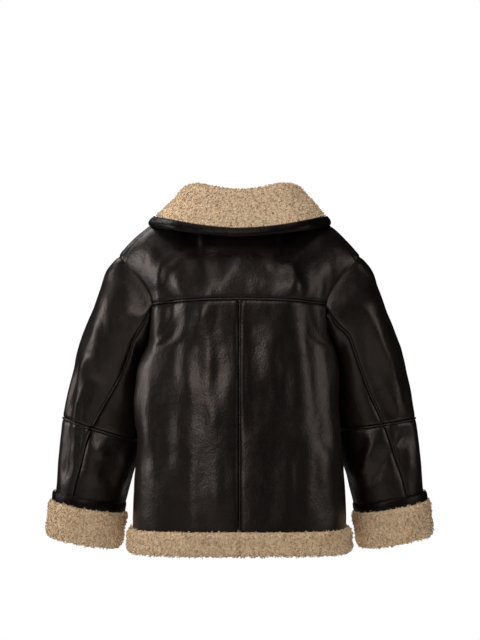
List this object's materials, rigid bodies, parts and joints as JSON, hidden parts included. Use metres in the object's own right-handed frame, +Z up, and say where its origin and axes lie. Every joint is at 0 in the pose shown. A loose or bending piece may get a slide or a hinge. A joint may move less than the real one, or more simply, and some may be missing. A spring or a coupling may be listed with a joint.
{
  "type": "shearling coat",
  "caption": "Hip-length shearling coat with a turned-down wool collar, wool hem, turned-up wool cuffs, a back yoke and a front zip, filled out as worn and open inside.",
  "frame": {"origin": "the middle of the neck opening, at the height where the shoulder seams meet the collar", "axes": "+Z up, +Y the way the wearer faces, +X the wearer's right"},
  "size_m": [0.7428, 0.304, 0.6905],
  "materials": {
    "leather": "waxed grain, soft sheen",
    "wool": "curly clipped wool, matte",
    "zip_tape": "woven, matte",
    "zip_metal": "darkened, satin"
  },
  "bodies": {
    "coat": {"back_left": "leather", "back_right": "leather", "back_yoke": "leather", "centre_back_welt": "leather", "collar": "wool", "collar_binding": "leather", "cuff_binding_left": "leather", "cuff_binding_right": "leather", "cuff_left": "wool", "cuff_right": "wool", "elbow_welt_left": "leather", "elbow_welt_right": "leather", "front_left": "leather", "front_right": "leather", "hem_back_left": "wool", "hem_back_right": "wool", "hem_front_left": "wool", "hem_front_right": "wool", "sleeve_left_lower_welt": "leather", "sleeve_left_top_lower": "leather", "sleeve_left_top_upper": "leather", "sleeve_left_under_lower": "leather", "sleeve_left_under_upper": "leather", "sleeve_left_upper_welt": "leather", "sleeve_right_lower_welt": "leather", "sleeve_right_top_lower": "leather", "sleeve_right_top_upper": "leather", "sleeve_right_under_lower": "leather", "sleeve_right_under_upper": "leather", "sleeve_right_upper_welt": "leather", "yoke_welt": "leather", "zip_slider": "zip_metal", "zip_tape_left": "zip_tape", "zip_tape_right": "zip_tape"},
    "pull": {"zip_pull": "zip_metal"}
  },
  "joints": [
    {"name": "pull_hinge", "type": "hinge", "parent": "coat", "child": "pull", "pos_m": [0, 0.0927, -0.09519], "axis": [1, 0, 0], "range_deg": [0, 150]}
  ]
}
